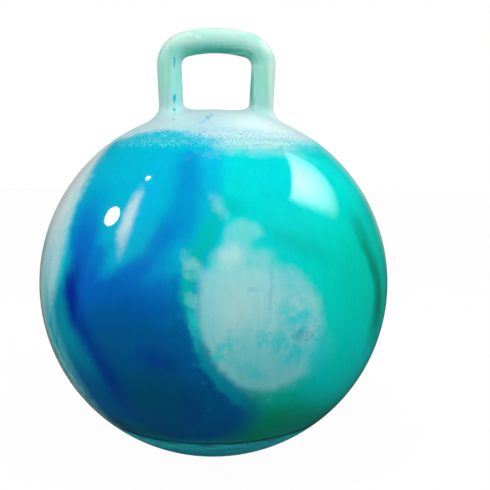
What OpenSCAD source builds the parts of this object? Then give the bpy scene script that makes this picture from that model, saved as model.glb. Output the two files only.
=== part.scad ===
// Inflated hopper ball with a loop handle cast in one with it, and a plug valve at the back.
// +Z is up through the handle, X runs along the grip bar, and the floor is at Z = 0.

/* [Ball] */
// Outer diameter of the inflated ball
ball_d = 450; // [400:5:550]
// Thickness of the cast skin
skin_wall = 1.5; // [1.2:0.1:2.5]
// Diameter of the patch that the ball's weight presses flat
foot_d = 76; // [60:2:100]
// Height that the crown between the handle's legs lies below a full sphere
crown_drop = 1.3; // [0:0.1:3]

/* [Mould seams] */
// Diameter of the ring where the handle cap starts
cap_seam_d = 264; // [250:2:290]
// Diameter of the ring where the base cap starts
base_seam_d = 322; // [290:2:340]
// Width of the groove along the base ring
groove_w = 2.4; // [1.6:0.2:3]
// Depth of the groove along the base ring
groove_depth = 0.9; // [0.4:0.1:1]

/* [Handle] */
// Height of the grip's top above the ball's crown
handle_rise = 100.5; // [90:0.5:120]
// Outer diameter of the hollow grip
grip_d = 31; // [26:1:34]
// Wall of the hollow grip
grip_wall = 3; // [2:0.5:5]
// Distance between the centrelines of the two legs at the bends
leg_spacing = 120.5; // [110:0.5:130]
// Outward lean of each leg, in degrees
leg_lean = 2.7; // [0:0.1:5]
// Centreline radius of each bend
bend_r = 27; // [20:1:32]
// Centreline radius of the arched top bar
arch_r = 160; // [120:5:220]
// Length of the fillet along the ball, outside each leg
outer_run = 26; // [16:1:32]
// Length of the fillet along the ball, in the gap between the legs
inner_run = 34; // [20:1:38]
// Length of the fillet along the ball, in front of and behind each leg
side_run = 16; // [10:1:22]
// Height of the fillet up the outside of each leg
outer_rise = 16; // [10:1:20]
// Height of the fillet up the side of each leg that faces the gap
inner_rise = 12; // [6:1:16]

/* [Valve] */
// Angle of the valve below the ball's widest line, in degrees
valve_dip = 30; // [10:1:34]
// Diameter of the valve's bore
bore_d = 8; // [6:0.5:9]
// Outer diameter of the barrel that reaches into the ball
barrel_d = 14; // [12:0.5:16]
// Depth of the barrel's end below the ball's surface
barrel_depth = 18; // [14:1:24]
// Diameter of the flange that is bonded inside the skin
flange_d = 36; // [30:1:44]
// Thickness of the flange
flange_t = 2; // [1.5:0.1:3]
// Diameter of the seat where it passes through the skin
neck_d = 20; // [19:0.5:22]
// Diameter of the raised rim around the mouth
rim_d = 25; // [24:0.5:30]
// Height of the rim above the ball's surface
rim_rise = 0.9; // [0.5:0.1:1.5]
// Width of each fingernail notch in the rim
notch_w = 6; // [4:0.5:8]
// Depth of each notch
notch_depth = 1; // [0.6:0.1:1.2]

/* [Plug] */
// Diameter of the plug's head
head_d = 15; // [13:0.5:16]
// Thickness of the plug's head
head_t = 2; // [1.5:0.1:2.5]
// Size of the slanted edge around the head's top
head_edge = 0.5; // [0.3:0.1:0.8]
// Length of the stem below the head
stem_len = 20; // [18:1:26]
// Number of barbs along the stem
barb_count = 4; // [2:1:5]
// Height that each barb stands out from the stem's core
barb_rise = 0.7; // [0.4:0.1:1]
// Length of the tapered tip
tip_len = 4; // [3:0.5:6]
// Diameter of the tip's flat end
tip_d = 4.5; // [3:0.5:6]

/* [Hidden] */
$fn = 96;

// Clearances and overruns
overrun = 1;
bond_gap = 0.1;
stem_clear = 0.05;
head_clear = 0.3;
fillet_sink = 0.4;

// Ball
ball_r = ball_d / 2;
inner_r = ball_r - skin_wall;
foot_r = foot_d / 2;
ball_z = sqrt(pow(ball_r, 2) - pow(foot_r, 2));
cap_seam_r = cap_seam_d / 2;
base_seam_r = base_seam_d / 2;
cap_seam_rise = sqrt(pow(ball_r, 2) - pow(cap_seam_r, 2));
base_seam_drop = sqrt(pow(ball_r, 2) - pow(base_seam_r, 2));

// Crown: a slightly flatter sphere through the cap's ring, whose middle lies below the ball's centre
crown_h = ball_r - crown_drop - cap_seam_rise;
crown_r = (pow(cap_seam_r, 2) + pow(crown_h, 2)) / (2 * crown_h);
crown_mid = ball_r - crown_drop - crown_r;
crown_inner_r = crown_r - skin_wall;

// Handle: all heights are above the ball's centre
grip_r = grip_d / 2;
arch_z = ball_r + handle_rise - grip_r - arch_r;
bend_x = leg_spacing / 2 - bend_r;
bend_z = arch_z + sqrt(pow(arch_r - bend_r, 2) - pow(bend_x, 2));
arch_start = atan2(bend_z - arch_z, bend_x);
leg_top = [bend_x + bend_r * cos(leg_lean), bend_z - bend_r * sin(leg_lean)];
leg_up = [sin(leg_lean), 0, cos(leg_lean)];
leg_out = [cos(leg_lean), 0, -sin(leg_lean)];
grip_sides = 24;
bore_sides = 16;
bend_steps = 8;
arch_steps = 5;
fillet_steps = 6;
dome_steps = 8;
dome_sides = 72;

// Valve: all heights are along its axis, from the ball's centre
valve_turn = 90 + valve_dip;
bore_r = bore_d / 2;
mouth_h = ball_r + rim_rise;
recess_r = head_d / 2 + head_clear;
seat_floor_h = mouth_h - head_t;
stem_r = bore_r - stem_clear;
core_r = stem_r - barb_rise;
barb_step = (stem_len - tip_len) / barb_count;

// Moves what is drawn about the ball's centre to its place above the floor
module at_centre() {
    translate([0, 0, ball_z]) children();
}

// Turns what is drawn along +Z to the valve's axis, which leaves at the back
module along_valve() {
    at_centre() rotate([-valve_turn, 0, 0]) children();
}

// The skin's section in the right half plane, between two heights above the centre
module skin_profile(low, high) {
    intersection() {
        difference() {
            circle(ball_r);
            circle(inner_r);
        }
        translate([0, low]) square([ball_r + overrun, high - low]);
    }
}

// The V that shows as a dark line around the base ring
module groove_profile() {
    translate([base_seam_r, -base_seam_drop])
        rotate(-acos(base_seam_r / ball_r))
            polygon([[-groove_depth, 0], [overrun, groove_w / 2], [overrun, -groove_w / 2]]);
}

// Everything between the two seams
module main_skin() {
    color("deepskyblue") difference() {
        at_centre() rotate_extrude() difference() {
            skin_profile(-base_seam_drop, cap_seam_rise);
            groove_profile();
        }
        along_valve() cylinder(r = neck_d / 2 + bond_gap, h = ball_r + overrun);
    }
}

// The bottom of the ball, with the pressed foot
module base_cap() {
    color("darkcyan") at_centre() rotate_extrude() {
        difference() {
            skin_profile(-ball_z, -base_seam_drop);
            groove_profile();
        }
        translate([0, -ball_z]) square([foot_r, skin_wall]);
    }
}

// The crown of radius r above a height, as a solid
module crown(r, height) {
    low = asin((height - crown_mid) / r);
    rotate_extrude($fn = dome_sides) polygon(concat(
        [[0, height]],
        [for (i = [0:dome_steps]) let (t = low + (90 - low) * i / dome_steps)
            [r * cos(t), crown_mid + r * sin(t)]]
    ));
}

// A ring of the grip's surface about the point at; its first point faces the way of the angle turn
function grip_ring(at, turn, r, sides) = [
    for (j = [0:sides - 1]) let (around = j * 360 / sides)
        [at[0], 0, at[1]] + r * [cos(around) * cos(turn), sin(around), cos(around) * sin(turn)]
];

// The way out of the leg's centreline at an angle around it; 0 is its outside
function leg_side(around) = cos(around) * leg_out + [0, sin(around), 0];

// Where a straight line down the leg's surface meets a sphere about the crown's middle
function leg_foot(around, r, sphere_r) =
    let (
        p = [leg_top[0], 0, leg_top[1] - crown_mid] + r * leg_side(around),
        along = p * leg_up,
        drop = along - sqrt(pow(along, 2) - p * p + pow(sphere_r, 2))
    )
    p - drop * leg_up + [0, 0, crown_mid];

function foot_ring(r, sphere_r, sides) = [
    for (j = [0:sides - 1]) leg_foot(j * 360 / sides, r, sphere_r)
];

// The fillet's two lengths go smoothly from the outside of the leg to the side that faces the gap
function fillet_run(around) =
    side_run + ((cos(around) > 0 ? outer_run : inner_run) - side_run) * pow(cos(around), 2);
function fillet_rise(around) =
    (outer_rise + inner_rise + (outer_rise - inner_rise) * cos(around)) / 2;

// A point of the fillet: share 0 lies on the crown, share 1 on the leg
function fillet_point(around, share) =
    let (
        middle = [0, 0, crown_mid],
        corner = leg_foot(around, grip_r, crown_r),
        up = (corner - middle) / crown_r,
        flat = leg_side(around) - (leg_side(around) * up) * up,
        spread = corner - middle + fillet_run(around) * flat / norm(flat),
        start = middle + (crown_r - fillet_sink) * spread / norm(spread),
        end = corner + fillet_rise(around) * leg_up
    )
    pow(1 - share, 2) * start + 2 * share * (1 - share) * corner + pow(share, 2) * end;

function fillet_rings() = [
    for (i = [0:fillet_steps])
        [for (j = [0:grip_sides - 1]) fillet_point(j * 360 / grip_sides, i / fillet_steps)]
];

// The bend, and half of the arch up to its middle
function upper_rings(r, sides) = concat(
    [for (i = [0:bend_steps]) let (t = -leg_lean + (arch_start + leg_lean) * i / bend_steps)
        grip_ring([bend_x + bend_r * cos(t), bend_z + bend_r * sin(t)], t, r, sides)],
    [for (i = [1:arch_steps]) let (t = arch_start + (90 - arch_start) * i / arch_steps)
        grip_ring([arch_r * cos(t), arch_z + arch_r * sin(t)], t, r, sides)]
);

// Mirrors a ring to the other leg, keeping its points in step with the sweep
function mirrored(ring) = [for (p = ring) [-p[0], p[1], p[2]]];
function whole_loop(half) = concat(half, [for (i = [len(half) - 2:-1:0]) mirrored(half[i])]);

// A closed tube through rings that all have the same number of points
module tube(rings) {
    sides = len(rings[0]);
    last = len(rings) - 1;
    polyhedron(
        points = [for (ring = rings) for (p = ring) p],
        faces = concat(
            [[for (j = [0:sides - 1]) j]],
            [for (i = [0:last - 1]) for (j = [0:sides - 1]) let (k = (j + 1) % sides)
                [i * sides + j, (i + 1) * sides + j, (i + 1) * sides + k, i * sides + k]],
            [[for (j = [sides - 1:-1:0]) last * sides + j]]
        )
    );
}

// The loop's outside, which starts inside the skin under each leg
module grip_outside() {
    tube(whole_loop(concat(
        [foot_ring(grip_r, crown_inner_r, grip_sides)],
        fillet_rings(),
        upper_rings(grip_r, grip_sides)
    )));
}

// The air space of the loop, which opens into the ball
module grip_inside() {
    bore = grip_r - grip_wall;
    tube(whole_loop(concat(
        [foot_ring(bore, crown_inner_r - skin_wall, bore_sides)],
        upper_rings(bore, bore_sides)
    )));
}

// The top of the ball with the loop handle, as one mesh
module handle_cap() {
    color("paleturquoise") at_centre() resize([0, 0, 0]) difference() {
        union() {
            crown(crown_r, cap_seam_rise);
            grip_outside();
        }
        crown(crown_inner_r, cap_seam_rise - overrun);
        grip_inside();
    }
}

// The seat's section: a barrel, a flange under the skin, a neck through it and a rim over it
module seat_profile() {
    difference() {
        union() {
            translate([0, ball_r - barrel_depth]) square([barrel_d / 2, barrel_depth]);
            intersection() {
                circle(ball_r + rim_rise);
                translate([0, inner_r - flange_t]) square([neck_d / 2, flange_t + skin_wall + rim_rise]);
            }
            intersection() {
                difference() {
                    circle(inner_r - bond_gap);
                    circle(inner_r - bond_gap - flange_t);
                }
                square([flange_d / 2, ball_r]);
            }
            intersection() {
                difference() {
                    circle(ball_r + rim_rise);
                    circle(ball_r + bond_gap);
                }
                square([rim_d / 2, mouth_h + overrun]);
            }
        }
        square([bore_r, mouth_h + overrun]);
        translate([0, seat_floor_h]) square([recess_r, head_t + overrun]);
    }
}

module valve_seat() {
    color("white") along_valve() difference() {
        rotate_extrude() seat_profile();
        for (side = [-1, 1])
            translate([side * rim_d / 2, 0, mouth_h])
                cube([rim_d - 2 * recess_r + notch_depth, notch_w, 2 * notch_depth], center = true);
    }
}

// One barb, as a cone that is widest at its upper edge
function barb(i) = [
    [core_r, -i * barb_step - barb_step / 2],
    [stem_r, -i * barb_step - barb_step / 2],
    [core_r, -(i + 1) * barb_step]
];

module valve_plug() {
    color("whitesmoke") along_valve() translate([0, 0, seat_floor_h]) rotate_extrude() polygon(concat(
        [[0, head_t], [head_d / 2 - head_edge, head_t], [head_d / 2, head_t - head_edge], [head_d / 2, 0]],
        [[core_r, 0]],
        [for (i = [0:barb_count - 1]) each barb(i)],
        [[tip_d / 2, -stem_len], [0, -stem_len]]
    ));
}

handle_cap();
main_skin();
base_cap();
valve_seat();
valve_plug();
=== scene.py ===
import bmesh
import bpy
import math
import numpy as np
from mathutils import Euler, Matrix, Vector


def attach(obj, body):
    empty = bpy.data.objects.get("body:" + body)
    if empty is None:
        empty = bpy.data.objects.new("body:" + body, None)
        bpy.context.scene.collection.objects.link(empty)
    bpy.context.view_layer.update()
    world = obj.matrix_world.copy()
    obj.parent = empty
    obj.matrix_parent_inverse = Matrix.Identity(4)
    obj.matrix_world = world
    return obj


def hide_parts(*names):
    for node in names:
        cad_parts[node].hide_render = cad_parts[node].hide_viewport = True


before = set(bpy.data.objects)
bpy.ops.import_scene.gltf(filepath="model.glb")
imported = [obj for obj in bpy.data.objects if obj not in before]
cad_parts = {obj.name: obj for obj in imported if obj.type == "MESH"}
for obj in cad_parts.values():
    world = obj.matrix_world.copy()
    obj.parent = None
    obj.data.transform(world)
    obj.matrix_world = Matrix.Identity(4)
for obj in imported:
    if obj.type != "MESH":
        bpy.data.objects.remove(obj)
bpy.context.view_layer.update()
scene = bpy.context.scene

# The skin's sizes in millimetres, about the ball's centre, as the frame has them
ball = {
    "radius": 225.0,
    "wall": 1.5,
    "footRadius": 38.0,
    "capRing": 132.0,
    "baseRing": 161.0,
    "crownDrop": 1.3,
}
ball["centreHeight"] = math.sqrt(ball["radius"] ** 2 - ball["footRadius"] ** 2)
ball["capHeight"] = math.sqrt(ball["radius"] ** 2 - ball["capRing"] ** 2)
ball["baseHeight"] = -math.sqrt(ball["radius"] ** 2 - ball["baseRing"] ** 2)


def addPiece(name, points, faces, body, node, sharpAngle=35):
    # The points come in millimetres about the ball's centre and go to metres above the floor
    points = (np.asarray(points, float) + [0, 0, ball["centreHeight"]]) / 1000
    mesh = bpy.data.meshes.new(name)
    mesh.from_pydata(points.tolist(), [], [list(map(int, f)) for f in faces])
    mesh.validate()
    mesh.polygons.foreach_set("use_smooth", [True] * len(mesh.polygons))
    mesh.set_sharp_from_angle(angle=math.radians(sharpAngle))
    mesh.update()
    piece = bpy.data.objects.new(name, mesh)
    scene.collection.objects.link(piece)
    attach(piece, body)
    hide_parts(node)
    return piece


def thicken(points, faces, normals):
    # A closed wall: the outside, the same faces set in by the wall, and a strip round each open edge
    count = len(points)
    edges = dict.fromkeys((a, b) for face in faces for a, b in zip(face, face[1:] + face[:1]))
    rim = [(a, b) for a, b in edges if (b, a) not in edges]
    allPoints = np.vstack([points, points - ball["wall"] * normals])
    allFaces = list(faces) + [[i + count for i in reversed(face)] for face in faces]
    allFaces += [[b, a, a + count, b + count] for a, b in rim]
    return allPoints, allFaces


# How finely the skin is drawn, and the groove of the lower seam, in millimetres
skinGrid = {
    "columns": 240,
    "mainRows": 78,
    "baseRows": 26,
    "seamSteps": [0, 0.2, 0.4, 0.6, 0.8, 1.0, 1.2, 1.4, 1.8, 2.6, 3.6],    # rows beside the lower seam
    "evenFrom": 5.0,                                                      # from here on the rows stand evenly
    "grooveHalf": 1.38,
    "grooveDepth": 0.9,
    "footBend": 1.5,                                                      # the sphere ends this far outside the foot
    "footRings": [(38.8, 0.13), (38.0, 0.04), (37.0, 0), (30.0, 0), (20.0, 0), (10.0, 0)],    # radius and lift
    "blockHalf": 4,                                                       # faces left out round the valve's hole
    "holeRings": 4,
}

# Where the valve sits: on the back, this far below the widest line
valve = {"dip": 30.0, "holeRadius": 10.1}


def valveAxis():
    dip = math.radians(valve["dip"])
    return np.array([0, math.cos(dip), -math.sin(dip)])


def ringAt(ringRadius, height):
    columns = skinGrid["columns"]
    angle = np.arange(columns) * 2 * math.pi / columns
    return np.stack([ringRadius * np.cos(angle), ringRadius * np.sin(angle), np.full(columns, height)], 1)


def skinRow(tilt, seamTilt):
    # One ring of the skin, sunk into the seam's groove where it is close to it, with a soft shoulder
    share = min(abs(tilt - seamTilt) * ball["radius"] / skinGrid["grooveHalf"], 1)
    radius = ball["radius"] - skinGrid["grooveDepth"] * (1 - share * share * (3 - 2 * share))
    return ringAt(radius * math.sin(tilt), radius * math.cos(tilt))


def facesBetween(rowCount, columns, leftOut=lambda i, j: False):
    # Square faces from each closed row of points to the next
    faces = []
    for i in range(rowCount - 1):
        for j in range(columns):
            if not leftOut(i, j):
                k = (j + 1) % columns
                faces.append([i * columns + j, (i + 1) * columns + j, (i + 1) * columns + k, i * columns + k])
    return faces


def makeMainSkin():
    # The glossy skin between the two mould seams, with a round hole for the valve seat
    columns, radius, half = skinGrid["columns"], ball["radius"], skinGrid["blockHalf"]
    top = math.asin(ball["capRing"] / radius)
    bottom = math.pi - math.asin(ball["baseRing"] / radius)
    tilts = list(np.linspace(top, bottom - skinGrid["evenFrom"] / radius, skinGrid["mainRows"]))
    tilts += [bottom - step / radius for step in reversed(skinGrid["seamSteps"])]
    points = np.vstack([skinRow(tilt, bottom) for tilt in tilts])
    row = int(np.argmin([abs(tilt - math.radians(90 + valve["dip"])) for tilt in tilts]))
    column = columns // 4
    faces = facesBetween(len(tilts), columns, lambda i, j: abs(i + 0.5 - row) < half and abs(j + 0.5 - column) < half)
    # The outline of the faces left out, then rings that close in on the round hole
    low, high, left, right = row - half, row + half, column - half, column + half
    outline = [(low, j) for j in range(left, right)] + [(i, right) for i in range(low, high)]
    outline += [(high, j) for j in range(right, left, -1)] + [(i, left) for i in range(high, low, -1)]
    outer = [i * columns + j for i, j in outline]
    axis = valveAxis()
    previous, extra = outer, []
    for ring in range(1, skinGrid["holeRings"] + 1):
        share = ring / skinGrid["holeRings"]
        current = []
        for index in outer:
            across = points[index] - axis * (points[index] @ axis)
            reach = np.linalg.norm(across)
            distance = reach * (1 - share) + valve["holeRadius"] * share
            current.append(len(points) + len(extra))
            extra.append(axis * math.sqrt(radius ** 2 - distance ** 2) + across / reach * distance)
        for a in range(len(outer)):
            b = (a + 1) % len(outer)
            faces.append([previous[a], current[a], current[b], previous[b]])
        previous = current
    points = np.vstack([points, extra])
    normals = points / np.linalg.norm(points, axis=1)[:, None]
    points, faces = thicken(points, faces, normals)
    return addPiece("mainSkin", points, faces, "ball", "main_skin")


def makeBaseCap():
    # The satin base, pressed flat where it stands
    columns, radius, floor = skinGrid["columns"], ball["radius"], -ball["centreHeight"]
    top = math.pi - math.asin(ball["baseRing"] / radius)
    low = math.pi - math.asin((ball["footRadius"] + skinGrid["footBend"]) / radius)
    tilts = [top + step / radius for step in skinGrid["seamSteps"]]
    tilts += list(np.linspace(top + skinGrid["evenFrom"] / radius, low, skinGrid["baseRows"]))
    rows = [skinRow(tilt, top) for tilt in tilts]
    rows += [ringAt(ringRadius, floor + lift) for ringRadius, lift in skinGrid["footRings"]]
    points = np.vstack(rows + [[[0, 0, floor]]])
    faces = facesBetween(len(rows), columns)
    last = (len(rows) - 1) * columns
    faces += [[last + j, len(points) - 1, last + (j + 1) % columns] for j in range(columns)]
    normals = points / np.linalg.norm(points, axis=1)[:, None]
    normals[len(tilts) * columns:] = [0, 0, -1]
    points, faces = thicken(points, faces, normals)
    return addPiece("baseCap", points, faces, "ball", "base_cap")


mainSkin = makeMainSkin()
baseCap = makeBaseCap()
print("skin made:", len(mainSkin.data.polygons) + len(baseCap.data.polygons), "faces")


# The crown with the loop handle, drawn as one smooth surface. The runs and rises are those of the fillet that flares
# each leg into the crown, in millimetres like the rest.
handle = {
    "rise": 100.5,
    "gripRadius": 15.5,
    "legSpacing": 120.5,
    "legLean": 2.7,
    "bendRadius": 27.0,
    "archRadius": 160.0,
    "outerRun": 26.0,
    "innerRun": 34.0,
    "sideRun": 16.0,
    "outerRise": 16.0,
    "innerRise": 12.0,
    "cell": 2.2,          # the grid that the surface is drawn on
    "cellsAround": 3,
    "mergeReach": 0.05,
}


def handleBends():
    # Height of the arch's centre, then the place of the centre of the right bend
    archZ = ball["radius"] + handle["rise"] - handle["gripRadius"] - handle["archRadius"]
    bendX = handle["legSpacing"] / 2 - handle["bendRadius"]
    bendZ = archZ + math.sqrt((handle["archRadius"] - handle["bendRadius"]) ** 2 - bendX ** 2)
    return archZ, bendX, bendZ


def handleField():
    # A function that is negative inside the crown and its handle, and zero on the surface
    h, radius = handle, ball["radius"]
    crownHeight = radius - ball["crownDrop"] - ball["capHeight"]
    crownRadius = (ball["capRing"] ** 2 + crownHeight ** 2) / (2 * crownHeight)
    crownMiddle = radius - ball["crownDrop"] - crownRadius
    archZ, bendX, bendZ = handleBends()
    start = math.atan2(bendZ - archZ, bendX)
    lean = math.radians(h["legLean"])
    legTop = np.array([bendX + h["bendRadius"] * math.cos(lean), bendZ - h["bendRadius"] * math.sin(lean)])

    def field(x, y, z):
        side = np.abs(x)
        # How far each point lies from the three stretches of the centreline: arch, bend and leg
        archTurn = np.arctan2(z - archZ, side)
        archGap = np.where(archTurn >= start, np.abs(np.hypot(side, z - archZ) - h["archRadius"]), 1e3)
        bendTurn = np.arctan2(z - bendZ, side - bendX)
        inBend = (bendTurn >= -lean) & (bendTurn <= start)
        bendGap = np.where(inBend, np.abs(np.hypot(side - bendX, z - bendZ) - h["bendRadius"]), 1e3)
        along = (side - legTop[0]) * -math.sin(lean) + (z - legTop[1]) * -math.cos(lean)
        across = (side - legTop[0]) * math.cos(lean) + (z - legTop[1]) * -math.sin(lean)
        legGap = np.hypot(across, np.minimum(along, 0))
        fromTube = np.hypot(np.minimum(np.minimum(archGap, bendGap), legGap), y) - h["gripRadius"]
        fromCrown = np.sqrt(x * x + y * y + (z - crownMiddle) ** 2) - crownRadius
        # The fillet is long towards the gap between the legs and short in front and behind
        facing = across / np.maximum(np.hypot(across, y), 1e-6)
        longRun = np.where(facing > 0, h["outerRun"], h["innerRun"])
        run = h["sideRun"] + (longRun - h["sideRun"]) * facing ** 2
        rise = (h["outerRise"] + h["innerRise"] + (h["outerRise"] - h["innerRise"]) * facing) / 2
        u, v = fromCrown / rise, fromTube / run
        blend = np.maximum(1 - np.abs(u - v), 0)
        # Times 20, so that it changes by about 1 in a millimetre
        return (np.minimum(u, v) - blend * blend / 4) * 20

    return field


def fieldSlope(field, points, step=0.02):
    x, y, z = points.T
    return np.stack([
        field(x + step, y, z) - field(x - step, y, z),
        field(x, y + step, z) - field(x, y - step, z),
        field(x, y, z + step) - field(x, y, z - step),
    ], 1) / (2 * step)


def settleOnField(field, points, rounds=5, longest=1.5):
    # Moves each point along the slope onto the surface, in a few short moves
    for _ in range(rounds):
        slope = fieldSlope(field, points)
        move = slope * (field(*points.T) / np.maximum((slope ** 2).sum(1), 1e-9))[:, None]
        length = np.linalg.norm(move, axis=1)[:, None]
        points = points - move * np.minimum(1, longest / np.maximum(length, 1e-9))
    return points


def netSurface(field, low, high, cell):
    # One point in each cell that the surface crosses, and one square face across each crossed grid edge
    axes = [np.arange(a, b + cell, cell) for a, b in zip(low, high)]
    value = field(*np.meshgrid(*axes, indexing="ij"))
    inside = value < 0
    shape = np.array(value.shape) - 1
    total = np.zeros((*shape, 3))
    crossings = np.zeros(shape)
    for corner in [(a, b, c) for a in (0, 1) for b in (0, 1) for c in (0, 1)]:
        for axis in range(3):
            if corner[axis]:
                continue
            other = list(corner)
            other[axis] = 1
            near = tuple(slice(c, c + n) for c, n in zip(corner, shape))
            far = tuple(slice(c, c + n) for c, n in zip(other, shape))
            crossed = inside[near] != inside[far]
            offset = np.zeros((*shape, 3)) + corner
            offset[..., axis] += np.where(crossed, value[near] / np.where(crossed, value[near] - value[far], 1), 0)
            total += offset * crossed[..., None]
            crossings += crossed
    used = crossings > 0
    index = -np.ones(shape, int)
    index[used] = np.arange(used.sum())
    points = np.array(low) + (np.argwhere(used) + total[used] / crossings[used][:, None]) * cell
    faces = []
    for axis in range(3):
        first, second = (axis + 1) % 3, (axis + 2) % 3
        near, far = [slice(None)] * 3, [slice(None)] * 3
        near[axis], far[axis] = slice(0, -1), slice(1, None)
        flips = np.argwhere(inside[tuple(near)] != inside[tuple(far)])
        for side in (first, second):
            flips = flips[(flips[:, side] > 0) & (flips[:, side] < shape[side])]
        quad = []
        for a, b in ((0, 0), (1, 0), (1, 1), (0, 1)):
            cellAt = flips.copy()
            cellAt[:, first] -= 1 - a
            cellAt[:, second] -= 1 - b
            quad.append(index[tuple(cellAt.T)])
        quad = np.stack(quad, 1)
        fromOutside = ~inside[tuple(flips.T)]
        quad[fromOutside] = quad[fromOutside][:, ::-1]
        faces.append(quad)
    return points, np.vstack(faces)


def makeHandleCap():
    field = handleField()
    ring, seam, cell = ball["capRing"], ball["capHeight"], handle["cell"]
    margin = handle["cellsAround"] * cell
    low = (-ring - margin, -ring - margin, seam - margin)
    high = (ring + margin, ring + margin, ball["radius"] + handle["rise"] + margin)
    points, faces = netSurface(field, low, high, cell)
    points = settleOnField(field, points)
    # Cut level at the mould seam
    mesh = bpy.data.meshes.new("cutting")
    mesh.from_pydata(points.tolist(), [], faces.tolist())
    work = bmesh.new()
    work.from_mesh(mesh)
    everything = work.verts[:] + work.edges[:] + work.faces[:]
    bmesh.ops.bisect_plane(work, geom=everything, plane_co=(0, 0, seam), plane_no=(0, 0, 1), clear_inner=True)
    # The cut edge lies on the seam's exact ring, and points that meet there become one
    for vert in work.verts:
        if vert.co.z < seam + 1e-4:
            share = ring / math.hypot(vert.co.x, vert.co.y)
            vert.co = (vert.co.x * share, vert.co.y * share, seam)
    bmesh.ops.remove_doubles(work, verts=work.verts[:], dist=handle["mergeReach"])
    work.verts.index_update()
    points = np.array([v.co[:] for v in work.verts])
    faces = [[v.index for v in f.verts] for f in work.faces]
    work.free()
    bpy.data.meshes.remove(mesh)
    normals = fieldSlope(field, points)
    normals /= np.linalg.norm(normals, axis=1)[:, None]
    points, faces = thicken(points, faces, normals)
    return addPiece("handleCap", points, faces, "ball", "handle_cap", sharpAngle=50)


handleCap = makeHandleCap()
print("crown and handle made:", len(handleCap.data.polygons), "faces")


# The valve on the back, a soft seat bonded into the skin and a barbed plug: radii from the valve's axis, and
# heights along it from the ball's centre or, for flange and rim, radii of shells about the ball's centre
valveSizes = {
    "columns": 96,
    "bore": 4.0,
    "barrel": 7.0,
    "barrelEnd": 207.0,
    "flange": 18.0,
    "flangeLow": 221.4,
    "flangeHigh": 223.4,
    "flangeRings": (10, 13, 16),
    "neck": 10.0,
    "rim": 12.5,
    "rimLow": 225.1,
    "rimHigh": 225.9,
    "rimUnder": 11.3,
    "rimRings": (11.7, 11.2, 10.7, 10.2, 9.7, 9.2, 8.7, 8.3),
    "recess": 7.8,
    "recessFloor": 223.9,
    "notchHalf": 3.0,
    "notchInner": 7.3,
    "notchOuter": 11.6,
    "notchDepth": 1.0,
    "head": 7.5,
    "dish": 5.2,
    "dishDepth": 0.35,
    "stem": 3.25,
    "barb": 3.95,
    "barbCount": 4,
    "barbPitch": 4.0,
    "stemEnd": 203.9,
    "tip": 2.25,
}


def roundedProfile(corners):
    # Corners are (radius, height, rounding); a rounded corner becomes a short curve of six points
    points = []
    for i, (x, z, rounding) in enumerate(corners):
        here = np.array([x, z])
        if not rounding:
            points.append(here)
            continue
        before = np.array(corners[i - 1][:2]) - here
        after = np.array(corners[(i + 1) % len(corners)][:2]) - here
        start = here + before / np.linalg.norm(before) * rounding
        stop = here + after / np.linalg.norm(after) * rounding
        points += [(1 - t) ** 2 * start + 2 * t * (1 - t) * here + t * t * stop for t in np.linspace(0, 1, 6)]
    return np.array(points)


def turnOnAxis(profile, closed):
    # Turns a profile round the valve's axis; an open one starts and ends on the axis
    columns = valveSizes["columns"]
    angle = np.arange(columns) * 2 * math.pi / columns
    axis = valveAxis()
    sideways = np.array([1.0, 0, 0])
    upwards = np.cross(axis, sideways)
    rings = profile if closed else profile[1:-1]
    points = [r * (math.cos(a) * sideways + math.sin(a) * upwards) + z * axis for r, z in rings for a in angle]
    faces = []
    for i in range(len(rings) if closed else len(rings) - 1):
        j = (i + 1) % len(rings)
        for a in range(columns):
            b = (a + 1) % columns
            faces.append([i * columns + a, i * columns + b, j * columns + b, j * columns + a])
    if not closed:
        points += [profile[0][1] * axis, profile[-1][1] * axis]
        last = (len(rings) - 1) * columns
        for a in range(columns):
            b = (a + 1) % columns
            faces += [[len(points) - 2, b, a], [len(points) - 1, last + a, last + b]]
    return np.array(points), faces


def onShell(shell, radius, rounding=0):
    # A corner on a shell about the ball's centre, at this radius from the valve's axis
    return radius, math.sqrt(shell ** 2 - radius ** 2), rounding


def makeValveSeat():
    v = valveSizes
    edge = [(v["bore"], v["recessFloor"], 0.3), (v["bore"], v["barrelEnd"], 0.3), (v["barrel"], v["barrelEnd"], 0.5)]
    edge += [onShell(v["flangeLow"], v["barrel"], 0.8)] + [onShell(v["flangeLow"], r) for r in v["flangeRings"]]
    edge += [onShell(v["flangeLow"], v["flange"], 0.5), onShell(v["flangeHigh"], v["flange"], 0.5)]
    edge += [onShell(v["flangeHigh"], r) for r in v["flangeRings"][:0:-1]]
    edge += [onShell(v["flangeHigh"], v["neck"], 0.2), onShell(v["rimLow"], v["neck"], 0.1)]
    edge += [onShell(v["rimLow"], v["rimUnder"]), onShell(v["rimLow"], v["rim"], 0.15)]
    edge += [onShell(v["rimHigh"], v["rim"], 0.35)]
    edge += [onShell(v["rimHigh"], r) for r in v["rimRings"]]
    edge += [(v["recess"], v["rimHigh"], 0.2), (v["recess"], v["recessFloor"], 0.3)]
    points, faces = turnOnAxis(roundedProfile(edge), closed=True)
    # Two notches for a fingernail, pressed into the rim on its left and right
    axis = valveAxis()
    height = points @ axis
    across = points - height[:, None] * axis
    reach = np.linalg.norm(across, axis=1)
    upwards = np.abs(across @ np.cross(axis, [1.0, 0, 0]))
    onTop = np.sqrt(np.maximum(v["rimHigh"] ** 2 - reach ** 2, 0)) - height < 0.5
    press = np.clip((v["notchHalf"] - upwards) / 0.7, 0, 1) * np.clip((v["notchOuter"] - reach) / 0.6, 0, 1)
    press *= np.clip((np.abs(across[:, 0]) - v["notchInner"]) / 0.3, 0, 1) * onTop
    points -= (press * v["notchDepth"])[:, None] * axis
    return addPiece("valveSeat", points, faces, "ball", "valve_seat", sharpAngle=50)


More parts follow.
